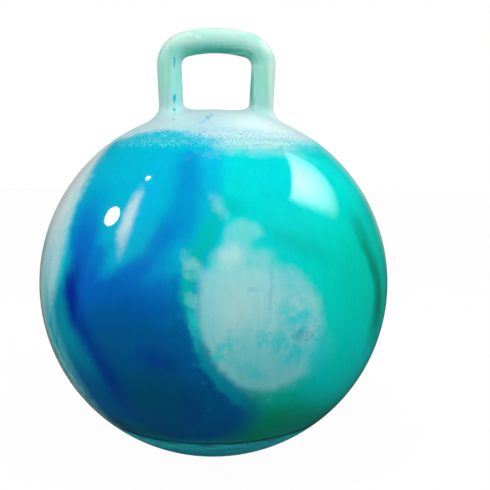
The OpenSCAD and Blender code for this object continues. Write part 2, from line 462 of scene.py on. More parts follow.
def makeValvePlug():
    v = valveSizes
    top, floor, head = v["rimHigh"], v["recessFloor"], v["head"]
    # A flat head with a shallow dish, then the stem with four barbs and a tapered tip
    edge = [(0, top - v["dishDepth"], 0), (v["dish"] - 0.6, top - v["dishDepth"], 0), (v["dish"], top, 0.15)]
    edge += [(head - 0.5, top, 0.2), (head, top - 0.5, 0.2), (head, floor, 0.3), (v["stem"], floor, 0.2)]
    for barb in range(v["barbCount"]):
        low = floor - 1 - barb * v["barbPitch"]
        edge += [(v["stem"], low - 0.3, 0), (v["barb"], low - 0.75, 0.12), (v["barb"] - 0.1, low - 1.2, 0)]
        edge += [(v["stem"], low - 3, 0.2)]
    edge += [(v["tip"], v["stemEnd"], 0.4), (0, v["stemEnd"], 0)]
    points, faces = turnOnAxis(roundedProfile(edge), closed=False)
    return addPiece("valvePlug", points, faces, "plug", "valve_plug", sharpAngle=50)


valveSeat = makeValveSeat()
valvePlug = makeValvePlug()
print("valve made:", len(valveSeat.data.polygons) + len(valvePlug.data.polygons), "faces")


def linearColour(code):
    # An sRGB hex value as the linear colour that the shader wants
    parts = [int(code[i:i + 2], 16) / 255 for i in (1, 3, 5)]
    return (*[c / 12.92 if c <= 0.04045 else ((c + 0.055) / 1.055) ** 2.4 for c in parts], 1)


def addNode(tree, kind, inputs=None, **settings):
    # Adds a node and gives back its outputs; an input takes another node's output, a hex colour or a plain value
    node = tree.nodes.new(kind)
    for name, setting in settings.items():
        setattr(node, name, setting)
    for key, source in (inputs or {}).items():
        if isinstance(source, bpy.types.NodeSocket):
            tree.links.new(source, node.inputs[key])
        else:
            node.inputs[key].default_value = linearColour(source) if isinstance(source, str) else source
    return node.outputs


# The colours that were poured into the mould, as they look in plain light
vinylColours = {
    "pale": "#D6EAEA",
    "cloud": "#93DCDD",
    "crownWhite": "#B9D9DB",
    "crownBright": "#DCF3F4",
    "sky": "#00B4D2",
    "azure": "#0094CE",
    "cyan": "#02B4DA",
    "cobalt": "#056CCB",
    "navy": "#032C9C",
    "seaBlue": "#0161AD",
    "deepSea": "#01609D",
    # The pale strip's colour, made lighter than its own as painted light on the ball's dim left side
    "strip": "#78D6E0",
    "petrol": "#0097B2",
    "lagoon": "#00D4D8",
    "dusk": "#02577D",
    "teal": "#00BDB8",
    "turquoise": "#00D6D3",
    "aqua": "#03E6DC",
    "rimGreen": "#00CCB4",
    "deepGreen": "#059D7A",
    "forest": "#017F62",
    # The base's teal, made lighter than its own as painted light from the floor below
    "baseTealWithBounceLight": "#30F2F0",
    "speckWhite": "#A4E6F2",
    "speckBlue": "#0090C0",
    "speckTeal": "#2FA8B0",
    # Painted shade in the lower seam's groove
    "seamGrooveShade": "#002436",
    "mist": "#62D2DA",
    "mint": "#ABE6D6",
    "mintDeep": "#86DAC8",
    "mintPale": "#D8F2EA",
    "mintWarm": "#CDE9CF",
    "mintCyan": "#92EBE4",
    # Painted shade of the handle, in teal
    "tealUndersideShade": "#4FCDB6",
    "darkTealShade": "#27A48C",
}

# One row for each swirl of colour: azimuth from the front towards the right, elevation and turn in degrees, half
# length and half width in millimetres, softness and raggedness of its edge, colour and strength. Later rows lie over
# earlier ones.
frontSwirls = [
    (22, 44, -7, 81, 34, 0.5, 0.4, "lagoon", 0.9),
    (56, 41, 16, 70, 52, 0.5, 0.4, "aqua", 0.9),
    (39, 24, -48, 44, 25, 0.6, 0.4, "aqua", 0.9),
    (31, 6, -69, 49, 26, 0.8, 0.5, "aqua", 0.6),
    (25, 19, -26, 41, 10, 0.9, 0.7, "teal", 0.7),
    (6, 31, -23, 12, 8, 0.9, 0.7, "teal", 0.7),
    (60, 8, -12, 117, 73, 0.6, 0.4, "rimGreen", 0.95),
    (41, -16, -44, 127, 27, 0.8, 0.5, "rimGreen", 0.5),
    (32, -46, -35, 164, 64, 0.55, 0.5, "deepGreen", 1),
    (20, -24, 18, 37, 16, 0.9, 0.5, "rimGreen", 0.4),
    (53, 21, -65, 22, 10, 0.9, 0.5, "deepGreen", 0.6),
    (55, 11, -65, 31, 9, 0.9, 0.5, "forest", 0.7),
    (59, 0, -86, 41, 12, 0.9, 0.5, "forest", 0.8),
    (56, -6, 80, 31, 11, 0.9, 0.5, "forest", 0.4),
    (54, 12, -65, 44, 5, 0.9, 0.5, "deepGreen", 0.5),
    (-30, 34, -41, 121, 92, 0.1, 0.5, "sky", 1),
    (-2, 46, -90, 39, 13, 0.8, 0.4, "cyan", 0.9),
    (-10, 38, -84, 62, 14, 0.8, 0.4, "azure", 1),
    (-13, 25, 65, 35, 14, 0.8, 0.4, "azure", 1),
    (-16, 20, 37, 25, 13, 0.8, 0.4, "cobalt", 0.5),
    (-41, 28, -56, 30, 22, 0.9, 0.4, "azure", 0.6),
    (-27, 6, 12, 89, 37, 0.3, 0.4, "cobalt", 1),
    (-42, 16, -77, 46, 26, 0.7, 0.4, "cobalt", 0.95),
    (-15, 8, -24, 35, 20, 0.9, 0.5, "azure", 0.4),
    (-15, 13, 41, 16, 8, 0.9, 0.8, "cyan", 0.45),
    (-12, 6, 59, 13, 9, 0.9, 0.8, "azure", 0.5),
    (-26, -8, 18, 85, 54, 0.5, 0.4, "seaBlue", 1),
    (-16, -23, -36, 104, 74, 0.22, 0.4, "deepSea", 1),
    (-18, -13, -25, 42, 28, 0.9, 0.6, "deepSea", 0.8),
    (-18, -23, 7, 52, 35, 0.9, 0.6, "dusk", 0.9),
    (-16, -11, -13, 19, 12, 1, 1.2, "navy", 0.45),
    (-45, 2, 81, 39, 15, 0.7, 0.4, "navy", 0.9),
    (-41, -6, -64, 33, 15, 0.9, 0.5, "navy", 0.7),
    (-35, -21, -85, 46, 24, 0.9, 0.5, "dusk", 0.55),
    (-33, -24, 88, 37, 16, 0.9, 0.6, "navy", 0.5),
    (-36, -14, -69, 37, 16, 0.9, 0.6, "navy", 0.4),
    (-7, -26, 84, 25, 11, 1, 1, "navy", 0.22),
    (-50, -32, -60, 90, 18, 0.7, 0.5, "petrol", 0.9),
    (-49, -2, -76, 33, 14, 0.6, 0.5, "petrol", 0.9),
    (-23, 31, 88, 49, 16, 0.6, 0.5, "cyan", 1),
    (-28, 16, 48, 24, 11, 0.8, 0.5, "cyan", 0.9),
    (-32, 23, -85, 22, 14, 0.9, 0.6, "cyan", 0.6),
    (-34, 16, 46, 10, 8, 1, 1.6, "cobalt", 0.6),
    (-27, 26, 85, 26, 7, 0.8, 0.5, "pale", 0.75),
    (-26, 31, -83, 9, 4, 0.9, 0.5, "pale", 0.2),
    (-7, 7, -83, 32, 8, 0.8, 0.5, "teal", 0.9),
    (-10, 15, 63, 18, 8, 0.9, 0.6, "sky", 0.7),
    (-3, 22, 70, 35, 10, 0.7, 0.6, "teal", 0.9),
    (-6, 13, 82, 20, 7, 0.8, 0.6, "teal", 0.9),
    (-4, -2, -77, 27, 6, 0.8, 0.5, "petrol", 0.75),
    (-8, -4, -77, 36, 9, 0.9, 0.5, "seaBlue", 0.8),
    (-9, -6, -72, 36, 10, 0.9, 0.5, "deepSea", 0.6),
    (2, -16, -55, 42, 8, 0.8, 0.5, "petrol", 0.8),
    (1, 31, -63, 12, 6, 0.9, 0.8, "cloud", 0.36),
    (8, 22, 25, 21, 20, 0.25, 0.6, "cloud", 0.45),
    (13, 20, 20, 13, 9, 0.6, 0.6, "turquoise", 0.9),
    (-7, 15, -77, 9, 6, 0.8, 1.4, "cloud", 0.4),
    (-3, 12, -31, 14, 8, 0.9, 1.2, "cloud", 0.5),
    (5, 15, 39, 20, 19, 0.6, 0.7, "cloud", 0.75),
    (2, 8, 60, 26, 22, 0.4, 0.7, "cloud", 0.9),
    (13, 16, 2, 12, 9, 0.8, 0.8, "cloud", 0.6),
    (13, -1, -13, 67, 59, 0.16, 0.6, "cloud", 1),
    (14, -11, -7, 50, 35, 0.16, 0.7, "cloud", 1),
    (20, 10, -30, 25, 11, 0.8, 0.9, "mist", 0.5),
    (15, -13, -6, 47, 29, 0.5, 1.2, "mist", 0.6),
    (25, -8, -17, 29, 18, 0.9, 1.4, "mist", 0.5),
    (7, -6, -20, 17, 15, 0.9, 1.4, "mist", 0.4),
    (-1, 2, 84, 27, 9, 0.6, 0.9, "mist", 0.4),
    (7, -16, -42, 31, 11, 0.9, 1.2, "mist", 0.4),
    (24, 5, -58, 25, 3, 0.9, 2, "lagoon", 0.3),
    (30, -2, 81, 17, 4, 0.9, 2.2, "lagoon", 0.5),
    (4, 17, 3, 11, 10, 0.9, 1, "pale", 0.4),
    (6, 5, 18, 32, 20, 0.9, 1, "pale", 0.2),
    (21, 0, -11, 14, 9, 1, 2.2, "lagoon", 0.8),
    (24, -4, -20, 10, 7, 1, 2.2, "petrol", 0.5),
    (17, -5, 8, 13, 9, 1, 2, "lagoon", 0.6),
    (1, -8, 73, 11, 5, 1, 2, "lagoon", 0.7),
    (4, -6, 82, 10, 4, 1, 2, "lagoon", 0.5),
    (15, 6, 83, 24, 2, 1, 1, "cyan", 0.3),
    (11, 8, 17, 6, 3, 1, 2, "cyan", 0.3),
    (25, 0, 48, 9, 8, 1, 1.6, "lagoon", 0.5),
    (23, -9, -34, 16, 7, 1, 1.8, "lagoon", 0.5),
    (21, -11, 22, 13, 8, 1, 2, "lagoon", 0.5),
    (11, -14, -29, 12, 6, 1, 1.8, "lagoon", 0.5),
    (12, -4, 73, 9, 4, 1, 1.8, "lagoon", 0.4),
    (19, 4, 79, 12, 6, 1, 1.6, "lagoon", 0.35),
    (30, -10, -58, 15, 12, 1, 1.8, "lagoon", 0.6),
    (5, 0, 71, 20, 10, 0.9, 0.8, "pale", 0.12),
    (-5, -1, -80, 23, 5, 0.8, 1, "lagoon", 0.8),
    (-3, -8, -70, 20, 5, 0.8, 1, "petrol", 0.8),
    (1, -15, -51, 20, 7, 0.6, 0.9, "petrol", 0.9),
    (5, -20, -46, 20, 6, 0.8, 0.8, "petrol", 0.75),
    (-6, 6, -79, 9, 4, 0.9, 1.4, "cloud", 0.3),
    (-128.7, 19.8, -3.5, 301, 183.5, 0.03, 0.3, "cyan", 0.85),
    (-128.7, 19.8, -3.5, 296, 178.5, 0.03, 0.35, "strip", 1),
    (-71, 36, -70, 84, 39, 0.35, 0.6, "pale", 1),
    (-60, 12, 86, 52, 2, 0.9, 1.0, "pale", 0.5),
    (-56, 4, 84, 30, 1.6, 0.9, 1.0, "cyan", 0.5),
    (-56, 13, 88, 70, 10, 0.9, 1.2, "pale", 0.55),
    (-48, -29, -62, 110, 19, 0.7, 0.7, "petrol", 0.9),
    (-50, -7, -76, 38, 21, 0.6, 0.8, "petrol", 0.95),
    (-46, 3, -82, 28, 10, 0.9, 0.4, "navy", 0.45),
    (-44, -16, -70, 34, 22, 0.7, 0.5, "petrol", 0.9),
    (-43, -25, -79, 40, 26, 0.8, 0.5, "deepSea", 0.85),
    (-38, -34, -84, 39, 23, 0.9, 0.5, "deepSea", 0.85),
    (-29, -41, 6, 41, 22, 0.9, 0.5, "dusk", 0.8),
    # The rows from here on paint the lower left edge paler: its pale and teal streaks, lightened as painted light
    (-61, -18, -68, 84, 17, 0.9, 1.6, "strip", 0.6),
    (-53, -17, -76, 56, 11, 0.9, 1.2, "strip", 0.4),
    (-68, -2, 84, 90, 22, 0.7, 1.0, "pale", 0.8),
    (-59, -14, -76, 80, 14, 0.9, 1.2, "lagoon", 0.5),
    (-58, -7, 66, 26, 4, 0.9, 1.8, "cyan", 0.6),
    (-56, -12, 60, 24, 4, 0.9, 1.8, "petrol", 0.6),
    (-63, -20, -64, 60, 8, 0.8, 1.8, "strip", 0.8),
    (-67, -26, -64, 130, 20, 0.7, 1.3, "pale", 0.85),
    (-58, -18, -64, 40, 5, 0.9, 1.8, "pale", 0.6),
    (-56, -30, -56, 40, 4, 0.9, 1.6, "pale", 0.5),
]

# The back and the sides, marbled as the front is
backSwirls = [
    (-152, 5, 90, 240, 130, 0.14, 0.6, "sky", 1),
    (162, 0, 90, 240, 130, 0.2, 0.6, "turquoise", 1),
    (-119, 0, 90, 240, 98, 0.16, 0.7, "sky", 1),
    (-99, 0, 88, 190, 7, 0.9, 0.6, "lagoon", 0.9),
    (-104, 22, 74, 80, 15, 0.5, 0.9, "cloud", 0.85),
    (-107, -6, 80, 50, 10, 0.6, 1.0, "mist", 0.8),
    (-101, 40, 20, 40, 12, 0.7, 0.9, "pale", 0.8),
    (-88, 12, 84, 90, 8, 0.9, 0.7, "pale", 0.6),
    (-90, -22, 80, 60, 9, 0.9, 0.7, "petrol", 0.7),
    (-113, 6, 80, 120, 11, 0.8, 0.6, "azure", 0.9),
    (-106, -36, 60, 70, 22, 0.7, 0.6, "deepSea", 0.9),
    (-124, 20, 72, 120, 22, 0.7, 0.5, "azure", 0.9),
    (-132, -16, 76, 120, 28, 0.5, 0.5, "cobalt", 1),
    (-138, -6, 80, 100, 12, 0.8, 0.5, "navy", 0.8),
    (-126, -34, 50, 70, 12, 0.8, 0.5, "navy", 0.6),
    (-147, 28, 64, 90, 26, 0.6, 0.5, "cyan", 0.9),
    (-156, -12, 72, 110, 34, 0.5, 0.5, "azure", 1),
    (-150, -38, 20, 100, 36, 0.5, 0.5, "deepSea", 1),
    (-165, 17, 64, 74, 24, 0.3, 0.6, "cloud", 0.95),
    (-156, 36, 24, 46, 15, 0.6, 0.8, "cloud", 0.7),
    (-172, -5, 74, 50, 14, 0.6, 1.0, "mist", 0.7),
    (-168, 12, 60, 46, 8, 0.9, 1.4, "lagoon", 0.4),
    (178, -24, 68, 110, 30, 0.5, 0.6, "seaBlue", 1),
    (-178, -16, 76, 60, 10, 0.8, 0.8, "cobalt", 0.7),
    (157, 22, 72, 110, 24, 0.6, 0.5, "azure", 0.9),
    (151, -8, 72, 100, 26, 0.5, 0.5, "cobalt", 0.95),
    (146, -16, 76, 60, 8, 0.8, 0.5, "navy", 0.7),
    (168, 40, 10, 70, 14, 0.6, 0.9, "pale", 0.8),
    (138, 12, 66, 66, 24, 0.35, 0.7, "cloud", 0.95),
    (132, -10, 50, 34, 16, 0.7, 1.2, "mist", 0.8),
    (140, 14, 60, 40, 7, 0.9, 1.5, "lagoon", 0.4),
    (120, 18, 76, 150, 26, 0.5, 0.5, "aqua", 0.9),
    (124, -28, 58, 100, 34, 0.6, 0.5, "rimGreen", 1),
    (103, 6, 86, 130, 13, 0.8, 0.6, "deepGreen", 0.8),
    (109, -6, 80, 80, 5, 0.9, 0.6, "forest", 0.8),
    (97, 30, 60, 60, 12, 0.8, 0.6, "teal", 0.8),
    (105, -34, 40, 66, 20, 0.7, 0.6, "petrol", 0.7),
    (92, -12, 72, 60, 16, 0.8, 0.6, "turquoise", 0.8),
    (113, 34, 34, 44, 14, 0.5, 0.9, "cloud", 0.8),
    (97, 12, 72, 26, 9, 0.7, 1.0, "cloud", 0.5),
    (126, 0, 80, 90, 7, 0.9, 0.6, "azure", 0.6),
    (86, -16, 78, 110, 12, 0.9, 0.7, "rimGreen", 0.9),
    (91, 24, 72, 70, 7, 0.9, 0.9, "aqua", 0.9),
    (84, 34, 20, 60, 12, 0.9, 0.8, "deepGreen", 0.45),
    (92, -34, 30, 70, 12, 0.8, 0.7, "forest", 0.6),
    (178, 20, 80, 60, 9, 0.9, 0.9, "aqua", 0.8),
    (172, 4, 72, 70, 6, 0.9, 0.9, "lagoon", 0.9),
]

# The crown round the handle, then the base
capSwirls = [
    (0, 90, 0, 131, 131, 0.05, 0.5, "crownWhite", 1),
    (-31, 55, 0, 65, 18, 0.4, 1.6, "sky", 1),
    (-31, 55, 1, 62, 17, 0.6, 1.6, "lagoon", 0.35),
    (-5, 54, -11, 23, 9, 0.9, 1.2, "cyan", 0.4),
    (22, 54, -2, 51, 13, 0.35, 0.8, "crownWhite", 0.7),
    (49, 50, -12, 24, 13, 0.8, 0.7, "lagoon", 0.9),
    (19, 50, -3, 45, 7, 0.9, 1.4, "crownWhite", 0.3),
    (20, 55, -3, 55, 9, 0.9, 1, "aqua", 0.14),
    (-7, 65, 42, 38, 22, 1, 1.5, "cyan", 0.2),
    (34, 65, -8, 51, 36, 0.9, 1, "crownBright", 0.7),
    (13, 60, -10, 53, 10, 1, 1.5, "cyan", 0.2),
    (-7, 70, 80, 8, 3, 0.9, 1, "sky", 0.8),
    (-10, 67, 79, 8, 2, 0.9, 1, "cyan", 0.5),
    (172, 62, 14, 60, 14, 0.9, 1.2, "crownBright", 0.7),
    (-118, 63, -16, 60, 10, 0.9, 1.2, "cyan", 0.25),
    (112, 60, 12, 60, 10, 0.9, 1.2, "cyan", 0.25),
    (-160, 58, 8, 60, 6, 0.9, 1.2, "sky", 0.3),
    # The base's teal, lightened as painted light from the floor below
    (0, -90, 0, 161, 161, 0.02, 0.1, "baseTealWithBounceLight", 1),
    (-10, -56, 10, 90, 22, 0.9, 0.8, "sky", 0.6),
    (70, -62, -30, 80, 24, 0.8, 0.8, "teal", 0.8),
    (160, -58, 20, 90, 26, 0.8, 0.8, "azure", 0.7),
    (-110, -60, 10, 90, 22, 0.8, 0.9, "cloud", 0.7),
    (0, -80, 50, 60, 18, 0.9, 0.9, "cloud", 0.5),
]

# How the drawn swirls are broken up: sizes of the noise and how far it moves things, in millimetres
marbling = {
    "broadSize": 75.0,
    "broadShift": 9.0,
    "fineSize": 17.0,
    "fineShift": 8.0,
    "raggedSize": 9.0,
    "raggedReach": 15.0,
    "streakSize": 7.0,
    "streakStretch": 0.12,
    "streakLight": (0.96, 1.04),
    "depth": 250.0,              # keeps a swirl off the far side of the ball
}


def layColour(tree, under, colour, gauge, low, high, strength=1.0, within=None):
    # Lays a colour over another, from none where the gauge reads low to its full strength where it reads high
    share = addNode(tree, "ShaderNodeMapRange", {
        "Value": gauge, "From Min": low, "From Max": high, "To Max": strength,
    }, interpolation_type="SMOOTHSTEP")[0]
    if within is not None:
        share = addNode(tree, "ShaderNodeMath", {0: within, 1: share}, operation="MULTIPLY")[0]
    return addNode(tree, "ShaderNodeMix", {0: share, 6: under, 7: colour}, data_type="RGBA")[2]


def addBlob(tree, place, ragged, under, centre, rotation, halfSizes, soft, rough, colour, strength):
    # One soft-edged ellipsoid of colour, its edge pushed in and out by the ragged noise. The spherical gradient falls
    # from 1 at its centre to 0 at a hundred times its size, so its own edge stands at 0.99.
    far = 100
    seat = addNode(tree, "ShaderNodeMapping", {
        "Vector": place, "Location": centre, "Rotation": rotation, "Scale": [far * half for half in halfSizes],
    }, vector_type="TEXTURE")[0]
    nearness = addNode(tree, "ShaderNodeTexGradient", {"Vector": seat}, gradient_type="SPHERICAL")["Fac"]
    reach = -rough * marbling["raggedReach"] / min(halfSizes) / far
    pushed = addNode(tree, "ShaderNodeMath", {0: ragged, 1: reach, 2: nearness}, operation="MULTIPLY_ADD")[0]
    low, high = 1 - (1 + soft) / far, 1 - (1 - soft) / far
    return layColour(tree, under, vinylColours[colour], pushed, low, high, strength)


def addSwirl(tree, place, ragged, under, swirl):
    azimuth, elevation, turn, halfLength, halfWidth, soft, rough, colour, strength = swirl
    aim = Matrix.Rotation(math.radians(azimuth), 3, "Z") @ Matrix.Rotation(math.radians(90 - elevation), 3, "X")
    centre = aim @ Vector((0, 0, ball["radius"]))
    aim = aim @ Matrix.Rotation(math.radians(turn), 3, "Z")
    halfSizes = (halfLength, halfWidth, marbling["depth"])
    return addBlob(tree, place, ragged, under, centre, aim.to_euler(), halfSizes, soft, rough, colour, strength)


def wander(tree, place, size, shift):
    # Moves the place by smooth noise, so that drawn ellipses turn into flowing shapes
    noise = addNode(tree, "ShaderNodeTexNoise", {"Vector": place, "Scale": 1 / size, "Detail": 3.0})["Color"]
    away = addNode(tree, "ShaderNodeVectorMath", {0: noise, 1: (0.5, 0.5, 0.5)}, operation="SUBTRACT")[0]
    return addNode(tree, "ShaderNodeVectorMath", {0: away, 1: (shift,) * 3, 2: place}, operation="MULTIPLY_ADD")[0]


def frayNoise(tree, place):
    # Noise about zero, which frays the edges of the colours
    noise = addNode(tree, "ShaderNodeTexNoise", {
        "Vector": place, "Scale": 1 / marbling["raggedSize"], "Detail": 5.0, "Roughness": 0.62,
    })["Fac"]
    return addNode(tree, "ShaderNodeMath", {0: noise, 1: 0.5}, operation="SUBTRACT")[0]


def placeInMillimetres(tree):
    # The point's place about the ball's centre, which moves with the piece
    place = addNode(tree, "ShaderNodeTexCoord")["Object"]
    drop = (0, 0, -ball["centreHeight"])
    return addNode(tree, "ShaderNodeMapping", {"Vector": place, "Location": drop, "Scale": (1000, 1000, 1000)})[0]


def makeMarbledColour():
    tree = bpy.data.node_groups.new("marbledColour", "ShaderNodeTree")
    tree.interface.new_socket("Colour", in_out="OUTPUT", socket_type="NodeSocketColor")
    place = placeInMillimetres(tree)
    flowing = wander(tree, place, marbling["broadSize"], marbling["broadShift"])
    flowing = wander(tree, flowing, marbling["fineSize"], marbling["fineShift"])
    ragged = frayNoise(tree, place)
    colour = vinylColours["turquoise"]
    for swirl in frontSwirls + backSwirls + capSwirls:
        colour = addSwirl(tree, flowing, ragged, colour, swirl)
    # Streaks that ran down the mould, as a slight change of lightness
    drawn = addNode(tree, "ShaderNodeMapping", {"Vector": flowing, "Scale": (1, 1, marbling["streakStretch"])})[0]
    streaks = addNode(tree, "ShaderNodeTexNoise", {
        "Vector": drawn, "Scale": 1 / marbling["streakSize"], "Detail": 3.0, "Roughness": 0.55,
    })["Fac"]
    light = addNode(tree, "ShaderNodeMapRange", {
        "Value": streaks, "From Min": 0.3, "From Max": 0.7,
        "To Min": marbling["streakLight"][0], "To Max": marbling["streakLight"][1],
    })[0]
    colour = addNode(tree, "ShaderNodeHueSaturation", {"Value": light, "Color": colour})[0]
    addNode(tree, "NodeGroupOutput", {"Colour": colour})
    return tree


# The band of small pimples where the satin crown starts, and the painted shade in the lower seam's groove, in
# millimetres
ringMarks = {
    "bandLow": (-9.0, -4.0),        # from the seam's height, where the band fades in and where it is full
    "bandHigh": (17.0, 9.0),        # and where it has faded out again
    "bandFray": 16.0,
    "unrolledStretch": 1.25,
    "white": (0.6, 0.72, 0.62),     # from this chance on, fully from that one, and how strong the specks are
    "blue": (0.45, 0.2, 0.7),
    "dotLine": 2.5,                 # one row of dots stands out at this height over the seam
    "dots": (2.4, 1.2, 0.6),        # how far from that line they start and are full, and how strong they are
    "seamShadeFade": (1.4, 0.56),
}

# Millimetres from speck to speck, how loosely they lie, and where each one's edge and core are. Those of the ring are
# a little coarser than the real ones, so that they show.
ringSpecks = {"size": 2.3, "looseness": 0.7, "edge": 0.42, "core": 0.18}
baseSpecks = {"size": 3.4, "looseness": 1.0, "edge": 0.5, "core": 0.2}


def scatterSpecks(tree, place, specks, dimensions):
    # Round specks, and for each a chance from 0 to 1 that picks its colour
    cells = addNode(tree, "ShaderNodeTexVoronoi", {
        "Vector": place, "Scale": 1 / specks["size"], "Randomness": specks["looseness"],
    }, voronoi_dimensions=dimensions)
    speck = addNode(tree, "ShaderNodeMapRange", {
        "Value": cells["Distance"], "From Min": specks["edge"], "From Max": specks["core"],
    }, interpolation_type="SMOOTHSTEP")[0]
    return speck, addNode(tree, "ShaderNodeSeparateColor", {0: cells["Color"]})[0]


def paintRing(tree, place, colour, ragged):
    # Unrolled round the ball, so that the pimples stand in rows along the seam
    axes = addNode(tree, "ShaderNodeSeparateXYZ", {0: place})
    mirrored = addNode(tree, "ShaderNodeMath", {0: axes["Y"], 1: -1.0}, operation="MULTIPLY")[0]
    angle = addNode(tree, "ShaderNodeMath", {0: axes["X"], 1: mirrored}, operation="ARCTAN2")[0]
    turned = addNode(tree, "ShaderNodeCombineXYZ", {"X": angle, "Y": axes["Z"]})[0]
    stretch = (ball["capRing"], ringMarks["unrolledStretch"], 0)
    unrolled = addNode(tree, "ShaderNodeVectorMath", {0: turned, 1: stretch}, operation="MULTIPLY")[0]
    speck, chance = scatterSpecks(tree, unrolled, ringSpecks, "2D")
    frayed = addNode(tree, "ShaderNodeMath", {
        0: ragged, 1: ringMarks["bandFray"], 2: axes["Z"],
    }, operation="MULTIPLY_ADD")[0]
    fromSeam = addNode(tree, "ShaderNodeMath", {0: frayed, 1: ball["capHeight"]}, operation="SUBTRACT")[0]
    for start, full in (ringMarks["bandLow"], ringMarks["bandHigh"]):
        inBand = addNode(tree, "ShaderNodeMapRange", {
            "Value": fromSeam, "From Min": start, "From Max": full,
        }, interpolation_type="SMOOTHSTEP")[0]
        speck = addNode(tree, "ShaderNodeMath", {0: speck, 1: inBand}, operation="MULTIPLY")[0]
    # The specks with a high chance are white, those with a low one blue
    colour = layColour(tree, colour, vinylColours["speckWhite"], chance, *ringMarks["white"], speck)
    colour = layColour(tree, colour, vinylColours["speckBlue"], chance, *ringMarks["blue"], speck)
    fromLine = addNode(tree, "ShaderNodeMath", {
        0: axes["Z"], 1: ball["capHeight"] + ringMarks["dotLine"],
    }, operation="SUBTRACT")[0]
    fromLine = addNode(tree, "ShaderNodeMath", {0: fromLine}, operation="ABSOLUTE")[0]
    return layColour(tree, colour, vinylColours["speckTeal"], fromLine, *ringMarks["dots"], speck)


def paintSeamShade(tree, place, colour):
    # Painted shade: the lower seam's groove is darkened by colour, for the shade that falls in it
    height = addNode(tree, "ShaderNodeSeparateXYZ", {0: place})["Z"]
    away = addNode(tree, "ShaderNodeMath", {0: height, 1: ball["baseHeight"]}, operation="SUBTRACT")[0]
    away = addNode(tree, "ShaderNodeMath", {0: away}, operation="ABSOLUTE")[0]
    return layColour(tree, colour, vinylColours["seamGrooveShade"], away, *ringMarks["seamShadeFade"])


# Colours on the handle: centre about the ball's centre, turn about the front-back axis, half sizes, softness,
# raggedness, colour and strength
handleBlobs = [
    ((0, 0, 292), 0, (105, 60, 60), 0.10, 0.5, "mint", 1),
    ((-66, 0, 262), 3, (9, 40, 46), 0.8, 0.5, "mintDeep", 0.5),
    ((79, -2, 266), -3, (14, 40, 66), 0.6, 0.5, "mintPale", 1),
    ((62, -12, 258), -3, (4, 20, 50), 0.9, 0.4, "mintDeep", 0.7),
    ((45, 0, 326), -12, (40, 40, 8), 0.9, 0.6, "mintPale", 0.8),
    ((-20, 0, 328), 0, (46, 40, 8), 0.9, 0.6, "mintPale", 0.7),
    ((-54, -6, 310), 45, (26, 30, 14), 0.9, 0.6, "mintWarm", 0.9),
    ((62, -8, 306), -48, (34, 30, 13), 0.8, 0.6, "mintPale", 0.9),
    # Painted shade: darker teal under the top bar and along the right leg's inner side
    ((2, -4, 292), 2, (58, 34, 11), 0.6, 0.4, "tealUndersideShade", 1),
    ((16, -4, 290), 4, (30, 34, 9), 0.7, 0.4, "darkTealShade", 0.75),
    ((44.5, -4, 256), -3, (4, 30, 30), 0.6, 0.3, "darkTealShade", 0.8),
    ((53, -12, 256), -3, (6, 30, 52), 0.9, 0.5, "mintDeep", 0.7),
    ((-49, -10, 252), 3, (6, 24, 52), 0.9, 0.5, "mintCyan", 0.8),
    ((-60, -14, 262), 3, (1.6, 10, 44), 0.9, 0.3, "mintDeep", 0.7),
    ((-24, -14, 312), 20, (10, 12, 1.8), 0.9, 0.8, "mintPale", 0.8),
    ((-53, -14, 279), 2, (1.3, 12, 8), 0.8, 0.4, "sky", 0.8),
    ((-53, -15, 235), 4, (1.5, 10, 5), 0.6, 0.3, "sky", 1),
    ((-53, -18, 222), 4, (1.4, 10, 2), 0.6, 0.3, "sky", 1),
    ((-51, -67, 208.6), 0, (1.8, 3, 1.8), 0.6, 0.2, "sky", 0.9),
]

# Faint lines along the handle, painted highlight and shade of ridges that the surface doesn't have: size and the
# height where they start in millimetres, and for the pale and the dark ones where they start and are full in the
# noise, and how strong they are
handleRidgeLight = {
    "size": 3.2,
    "alongStretch": 0.03,
    "fadeIn": (232, 250),
    "pale": (0.56, 0.7, 0.45),
    "dark": (0.44, 0.3, 0.35),
}


